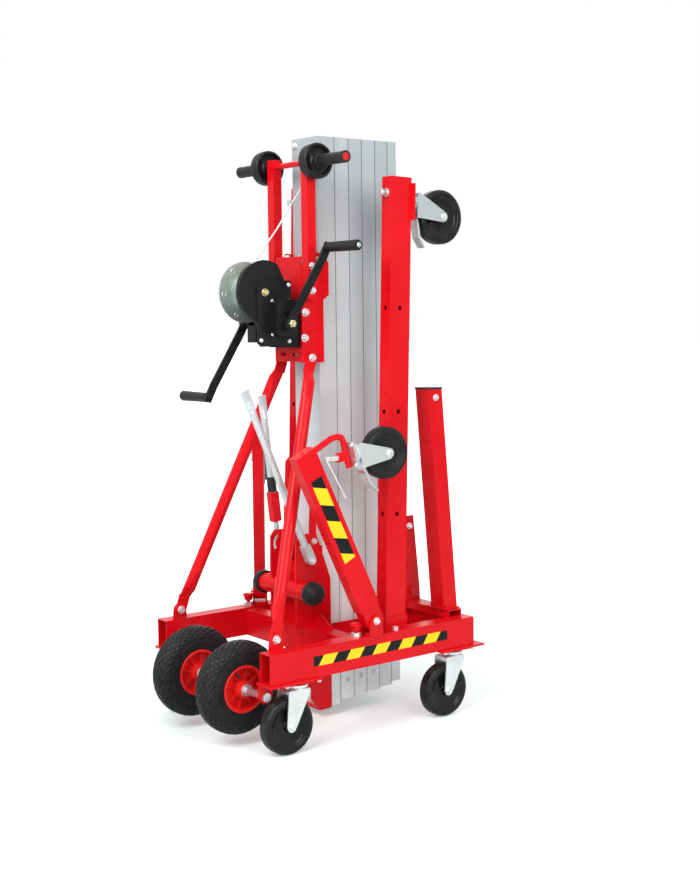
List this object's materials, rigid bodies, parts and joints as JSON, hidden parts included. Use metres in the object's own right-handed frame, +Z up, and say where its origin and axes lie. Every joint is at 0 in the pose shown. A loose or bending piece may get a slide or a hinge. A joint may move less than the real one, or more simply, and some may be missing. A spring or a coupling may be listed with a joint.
{
  "type": "material lift",
  "caption": "Folding material lift on casters: telescopic aluminium mast with hand winch, folding lift forks, stowed front legs and outriggers.",
  "frame": {"origin": "on the floor, under the middle of the lift's bounding box", "axes": "+Z up, +X across the lift to the side of the long crank arm that points up, +Y towards the forks"},
  "size_m": [0.896, 0.895, 1.722],
  "materials": {
    "beam_plunger_left": "gloss red powder coat",
    "beam_plunger_right": "gloss red powder coat",
    "brace_left": "zinc plated",
    "brace_right": "zinc plated",
    "brake_pedal_left": "gloss red powder coat",
    "brake_pedal_right": "gloss red powder coat",
    "bumper_bar": "gloss red powder coat",
    "carriage_frame": "gloss red powder coat",
    "carriage_rail": "bare extruded aluminium",
    "crank": "satin black paint",
    "crank_grip_left": "black rubber sleeve",
    "crank_grip_right": "black rubber sleeve",
    "fork_left": "gloss red powder coat",
    "fork_right": "gloss red powder coat",
    "front_caster_left_fork": "zinc plated",
    "front_caster_left_wheel": "solid black wheel",
    "front_caster_right_fork": "zinc plated",
    "front_caster_right_wheel": "solid black wheel",
    "front_leg_left": "gloss red powder coat",
    "front_leg_right": "gloss red powder coat",
    "handle_frame": "gloss red powder coat",
    "handle_grip_left": "black rubber sleeve",
    "handle_grip_right": "black rubber sleeve",
    "leg_caster_left_fork": "zinc plated",
    "leg_caster_left_wheel": "solid black wheel",
    "leg_caster_right_fork": "zinc plated",
    "leg_caster_right_wheel": "solid black wheel",
    "loading_wheel_left": "solid black wheel",
    "loading_wheel_right": "solid black wheel",
    "mast_base": "gloss red powder coat",
    "mast_section_1": "bare extruded aluminium",
    "mast_section_2": "bare extruded aluminium",
    "mast_section_3": "bare extruded aluminium",
    "mast_section_4": "bare extruded aluminium",
    "mast_section_5": "bare extruded aluminium",
    "outrigger_arm_left": "gloss red powder coat",
    "outrigger_arm_right": "gloss red powder coat",
    "outrigger_bracket_left": "gloss red powder coat",
    "outrigger_bracket_right": "gloss red powder coat",
    "outrigger_caster_left_fork": "zinc plated",
    "outrigger_caster_left_wheel": "solid black wheel",
    "outrigger_caster_right_fork": "zinc plated",
    "outrigger_caster_right_wheel": "solid black wheel",
    "outrigger_plunger_left": "zinc plated",
    "outrigger_plunger_right": "zinc plated",
    "pneumatic_wheel_left": "black tyre on a red hub",
    "pneumatic_wheel_right": "black tyre on a red hub",
    "rear_caster_left_fork": "zinc plated",
    "rear_caster_left_wheel": "solid black wheel",
    "rear_caster_right_fork": "zinc plated",
    "rear_caster_right_wheel": "solid black wheel",
    "side_beam_left": "gloss red powder coat",
    "side_beam_right": "gloss red powder coat",
    "strut_left": "gloss red powder coat",
    "strut_right": "gloss red powder coat",
    "wheel_axle": "zinc plated",
    "winch_bracket": "gloss red powder coat",
    "winch_cable": "zinc plated",
    "winch_drum": "zinc plated",
    "winch_frame": "satin black paint"
  },
  "bodies": {
    "base": {"side_beam_right": "side_beam_right", "side_beam_left": "side_beam_left", "mast_base": "mast_base", "bumper_bar": "bumper_bar", "strut_right": "strut_right", "strut_left": "strut_left", "winch_bracket": "winch_bracket", "handle_frame": "handle_frame", "handle_grip_right": "handle_grip_right", "handle_grip_left": "handle_grip_left", "mast_section_1": "mast_section_1", "wheel_axle": "wheel_axle", "winch_frame": "winch_frame", "winch_cable": "winch_cable"},
    "mast_2": {"mast_section_2": "mast_section_2"},
    "mast_3": {"mast_section_3": "mast_section_3"},
    "mast_4": {"mast_section_4": "mast_section_4"},
    "mast_5": {"mast_section_5": "mast_section_5"},
    "carriage": {"carriage_rail": "carriage_rail", "carriage_frame": "carriage_frame"},
    "drum": {"winch_drum": "winch_drum"},
    "crank": {"crank": "crank"},
    "crank_grip_right": {"crank_grip_right": "crank_grip_right"},
    "crank_grip_left": {"crank_grip_left": "crank_grip_left"},
    "fork_right": {"fork_right": "fork_right"},
    "front_leg_right": {"front_leg_right": "front_leg_right"},
    "leg_caster_right_fork": {"leg_caster_right_fork": "leg_caster_right_fork"},
    "leg_caster_right_wheel": {"leg_caster_right_wheel": "leg_caster_right_wheel"},
    "rear_caster_right_fork": {"rear_caster_right_fork": "rear_caster_right_fork"},
    "rear_caster_right_wheel": {"rear_caster_right_wheel": "rear_caster_right_wheel"},
    "front_caster_right_fork": {"front_caster_right_fork": "front_caster_right_fork"},
    "front_caster_right_wheel": {"front_caster_right_wheel": "front_caster_right_wheel"},
    "pneumatic_wheel_right": {"pneumatic_wheel_right": "pneumatic_wheel_right"},
    "loading_wheel_right": {"loading_wheel_right": "loading_wheel_right"},
    "beam_plunger_right": {"beam_plunger_right": "beam_plunger_right"},
    "brace_right": {"brace_right": "brace_right"},
    "outrigger_bracket_right": {"outrigger_bracket_right": "outrigger_bracket_right"},
    "outrigger_arm_right": {"outrigger_arm_right": "outrigger_arm_right"},
    "outrigger_caster_right_fork": {"outrigger_caster_right_fork": "outrigger_caster_right_fork"},
    "outrigger_caster_right_wheel": {"outrigger_caster_right_wheel": "outrigger_caster_right_wheel"},
    "brake_pedal_right": {"brake_pedal_right": "brake_pedal_right"},
    "outrigger_plunger_right": {"outrigger_plunger_right": "outrigger_plunger_right"},
    "fork_left": {"fork_left": "fork_left"},
    "front_leg_left": {"front_leg_left": "front_leg_left"},
    "leg_caster_left_fork": {"leg_caster_left_fork": "leg_caster_left_fork"},
    "leg_caster_left_wheel": {"leg_caster_left_wheel": "leg_caster_left_wheel"},
    "rear_caster_left_fork": {"rear_caster_left_fork": "rear_caster_left_fork"},
    "rear_caster_left_wheel": {"rear_caster_left_wheel": "rear_caster_left_wheel"},
    "front_caster_left_fork": {"front_caster_left_fork": "front_caster_left_fork"},
    "front_caster_left_wheel": {"front_caster_left_wheel": "front_caster_left_wheel"},
    "pneumatic_wheel_left": {"pneumatic_wheel_left": "pneumatic_wheel_left"},
    "loading_wheel_left": {"loading_wheel_left": "loading_wheel_left"},
    "beam_plunger_left": {"beam_plunger_left": "beam_plunger_left"},
    "brace_left": {"brace_left": "brace_left"},
    "outrigger_bracket_left": {"outrigger_bracket_left": "outrigger_bracket_left"},
    "outrigger_arm_left": {"outrigger_arm_left": "outrigger_arm_left"},
    "outrigger_caster_left_fork": {"outrigger_caster_left_fork": "outrigger_caster_left_fork"},
    "outrigger_caster_left_wheel": {"outrigger_caster_left_wheel": "outrigger_caster_left_wheel"},
    "brake_pedal_left": {"brake_pedal_left": "brake_pedal_left"},
    "outrigger_plunger_left": {"outrigger_plunger_left": "outrigger_plunger_left"}
  },
  "joints": [
    {"name": "mast_lift_2", "type": "slide", "parent": "base", "child": "mast_2", "axis": [0, 0, 1], "range_m": [0, 0.08]},
    {"name": "mast_lift_3", "type": "slide", "parent": "mast_2", "child": "mast_3", "axis": [0, 0, 1], "range_m": [0, 0.08]},
    {"name": "mast_lift_4", "type": "slide", "parent": "mast_3", "child": "mast_4", "axis": [0, 0, 1], "range_m": [0, 0.08]},
    {"name": "mast_lift_5", "type": "slide", "parent": "mast_4", "child": "mast_5", "axis": [0, 0, 1], "range_m": [0, 0.08]},
    {"name": "carriage_lift", "type": "slide", "parent": "mast_5", "child": "carriage", "axis": [0, 0, 1], "range_m": [0, 0.08]},
    {"name": "winch_drum_turn", "type": "hinge", "parent": "base", "child": "drum", "pos_m": [0.1299, -0.1605, 1.272], "axis": [1, 0, 0], "range_deg": [0, 87]},
    {"name": "crank_turn", "type": "hinge", "parent": "base", "child": "crank", "pos_m": [0.1299, -0.1185, 1.181], "axis": [1, 0, 0], "range_deg": [-260, 0]},
    {"name": "crank_grip_right_spin", "type": "hinge", "parent": "crank", "child": "crank_grip_right", "pos_m": [0.3299, -0.00447, 1.39728], "axis": [1, 0, 0], "continuous": true},
    {"name": "crank_grip_left_spin", "type": "hinge", "parent": "crank", "child": "crank_grip_left", "pos_m": [-0.0701, -0.23253, 0.96472], "axis": [1, 0, 0], "continuous": true},
    {"name": "fork_right_fold", "type": "hinge", "parent": "carriage", "child": "fork_right", "pos_m": [0.3549, 0.392, 0.312], "axis": [-1, 0, 0], "range_deg": [0, 94.9]},
    {"name": "leg_right_slide", "type": "slide", "parent": "base", "child": "front_leg_right", "axis": [0, 0.0291, 0.9996], "range_m": [0, 0.09]},
    {"name": "leg_caster_right_swivel", "type": "hinge", "parent": "front_leg_right", "child": "leg_caster_right_fork", "pos_m": [0.3559, 0.2301, 1.52819], "axis": [0, 0.9996, -0.0291], "continuous": true},
    {"name": "leg_caster_right_spin", "type": "hinge", "parent": "leg_caster_right_fork", "child": "leg_caster_right_wheel", "pos_m": [0.3559, 0.34497, 1.48783], "axis": [1, 0, 0], "continuous": true},
    {"name": "rear_caster_right_swivel", "type": "hinge", "parent": "base", "child": "rear_caster_right_fork", "pos_m": [0.4064, -0.2275, 0.1955], "axis": [0, 0, 1], "continuous": true},
    {"name": "rear_caster_right_spin", "type": "hinge", "parent": "rear_caster_right_fork", "child": "rear_caster_right_wheel", "pos_m": [0.4064, -0.2645, 0.08], "axis": [1, 0, 0], "continuous": true},
    {"name": "front_caster_right_swivel", "type": "hinge", "parent": "base", "child": "front_caster_right_fork", "pos_m": [0.4064, 0.3475, 0.1955], "axis": [0, 0, 1], "continuous": true},
    {"name": "front_caster_right_spin", "type": "hinge", "parent": "front_caster_right_fork", "child": "front_caster_right_wheel", "pos_m": [0.4064, 0.3105, 0.08], "axis": [1, 0, 0], "continuous": true},
    {"name": "pneumatic_wheel_right_spin", "type": "hinge", "parent": "base", "child": "pneumatic_wheel_right", "pos_m": [0.2479, -0.3175, 0.164], "axis": [1, 0, 0], "continuous": true},
    {"name": "loading_wheel_right_spin", "type": "hinge", "parent": "base", "child": "loading_wheel_right", "pos_m": [0.2514, -0.0255, 1.641], "axis": [1, 0, 0], "continuous": true},
    {"name": "beam_plunger_right_pull", "type": "slide", "parent": "base", "child": "beam_plunger_right", "axis": [0, 0, 1], "range_m": [0, 0.008]},
    {"name": "brace_right_swing", "type": "hinge", "parent": "base", "child": "brace_right", "pos_m": [0.2099, -0.0325, 0.486], "axis": [1, 0, 0], "range_deg": [-16, 60]},
    {"name": "outrigger_right_swing", "type": "hinge", "parent": "base", "child": "outrigger_bracket_right", "pos_m": [0.4149, 0.0325, 0.333], "axis": [0, 0, -1], "range_deg": [0, 90]},
    {"name": "outrigger_right_fold", "type": "hinge", "parent": "outrigger_bracket_right", "child": "outrigger_arm_right", "pos_m": [0.4149, 0.0325, 0.333], "axis": [-1, 0, 0], "range_deg": [0, 113]},
    {"name": "outrigger_caster_right_swivel", "type": "hinge", "parent": "outrigger_arm_right", "child": "outrigger_caster_right_fork", "pos_m": [0.4149, -0.03746, 0.81573], "axis": [0, 0.9636, 0.2672], "range_deg": [-180, 8]},
    {"name": "outrigger_caster_right_spin", "type": "hinge", "parent": "outrigger_caster_right_fork", "child": "outrigger_caster_right_wheel", "pos_m": [0.4149, 0.08324, 0.81081], "axis": [1, 0, 0], "continuous": true},
    {"name": "brake_pedal_right_press", "type": "hinge", "parent": "outrigger_caster_right_fork", "child": "brake_pedal_right", "pos_m": [0.4149, -0.00287, 0.77707], "axis": [1, 0, 0], "range_deg": [0, 12]},
    {"name": "outrigger_plunger_right_pull", "type": "slide", "parent": "outrigger_arm_right", "child": "outrigger_plunger_right", "axis": [0, -1, 0], "range_m": [0, 0.008]},
    {"name": "fork_left_fold", "type": "hinge", "parent": "carriage", "child": "fork_left", "pos_m": [-0.0951, 0.392, 0.312], "axis": [-1, 0, 0], "range_deg": [0, 94.9]},
    {"name": "leg_left_slide", "type": "slide", "parent": "base", "child": "front_leg_left", "axis": [0, 0.0291, 0.9996], "range_m": [0, 0.09]},
    {"name": "leg_caster_left_swivel", "type": "hinge", "parent": "front_leg_left", "child": "leg_caster_left_fork", "pos_m": [-0.0961, 0.2301, 1.52819], "axis": [0, 0.9996, -0.0291], "continuous": true},
    {"name": "leg_caster_left_spin", "type": "hinge", "parent": "leg_caster_left_fork", "child": "leg_caster_left_wheel", "pos_m": [-0.0961, 0.34497, 1.48783], "axis": [1, 0, 0], "continuous": true},
    {"name": "rear_caster_left_swivel", "type": "hinge", "parent": "base", "child": "rear_caster_left_fork", "pos_m": [-0.1466, -0.2275, 0.1955], "axis": [0, 0, 1], "continuous": true},
    {"name": "rear_caster_left_spin", "type": "hinge", "parent": "rear_caster_left_fork", "child": "rear_caster_left_wheel", "pos_m": [-0.1466, -0.2645, 0.08], "axis": [1, 0, 0], "continuous": true},
    {"name": "front_caster_left_swivel", "type": "hinge", "parent": "base", "child": "front_caster_left_fork", "pos_m": [-0.1466, 0.3475, 0.1955], "axis": [0, 0, 1], "continuous": true},
    {"name": "front_caster_left_spin", "type": "hinge", "parent": "front_caster_left_fork", "child": "front_caster_left_wheel", "pos_m": [-0.1466, 0.3105, 0.08], "axis": [1, 0, 0], "continuous": true},
    {"name": "pneumatic_wheel_left_spin", "type": "hinge", "parent": "base", "child": "pneumatic_wheel_left", "pos_m": [0.0119, -0.3175, 0.164], "axis": [1, 0, 0], "continuous": true},
    {"name": "loading_wheel_left_spin", "type": "hinge", "parent": "base", "child": "loading_wheel_left", "pos_m": [0.0084, -0.0255, 1.641], "axis": [1, 0, 0], "continuous": true},
    {"name": "beam_plunger_left_pull", "type": "slide", "parent": "base", "child": "beam_plunger_left", "axis": [0, 0, 1], "range_m": [0, 0.008]},
    {"name": "brace_left_swing", "type": "hinge", "parent": "base", "child": "brace_left", "pos_m": [0.0499, -0.0325, 0.486], "axis": [1, 0, 0], "range_deg": [0, 75]},
    {"name": "outrigger_left_swing", "type": "hinge", "parent": "base", "child": "outrigger_bracket_left", "pos_m": [-0.1551, 0.0325, 0.333], "axis": [0, 0, 1], "range_deg": [0, 36]},
    {"name": "outrigger_left_fold", "type": "hinge", "parent": "outrigger_bracket_left", "child": "outrigger_arm_left", "pos_m": [-0.1551, 0.0325, 0.333], "axis": [-0.5878, -0.809, 0], "range_deg": [0, 83.5]},
    {"name": "outrigger_caster_left_swivel", "type": "hinge", "parent": "outrigger_arm_left", "child": "outrigger_caster_left_fork", "pos_m": [-0.29686, 0.1355, 0.78821], "axis": [-0.7857, 0.5708, -0.2385], "continuous": true},
    {"name": "outrigger_caster_left_spin", "type": "hinge", "parent": "outrigger_caster_left_fork", "child": "outrigger_caster_left_wheel", "pos_m": [-0.38007, 0.19595, 0.72485], "axis": [0.5878, 0.809, 0], "continuous": true},
    {"name": "brake_pedal_left_press", "type": "hinge", "parent": "outrigger_caster_left_fork", "child": "brake_pedal_left", "pos_m": [-0.30596, 0.14211, 0.73757], "axis": [0.5878, 0.809, 0], "range_deg": [0, 12]},
    {"name": "outrigger_plunger_left_pull", "type": "slide", "parent": "outrigger_arm_left", "child": "outrigger_plunger_left", "axis": [0.7055, -0.5126, 0.4894], "range_m": [0, 0.008]}
  ],
  "couplings": [
    {"joint": "mast_lift_3", "follows": "mast_lift_2", "ratio": 1},
    {"joint": "mast_lift_4", "follows": "mast_lift_2", "ratio": 1},
    {"joint": "mast_lift_5", "follows": "mast_lift_2", "ratio": 1},
    {"joint": "carriage_lift", "follows": "mast_lift_2", "ratio": 1},
    {"joint": "winch_drum_turn", "follows": "mast_lift_2", "rad_per_m": 18.868},
    {"joint": "crank_turn", "follows": "mast_lift_2", "rad_per_m": -56.604},
    {"joint": "outrigger_right_fold", "follows": "outrigger_right_swing", "ratio": 1.2533}
  ]
}
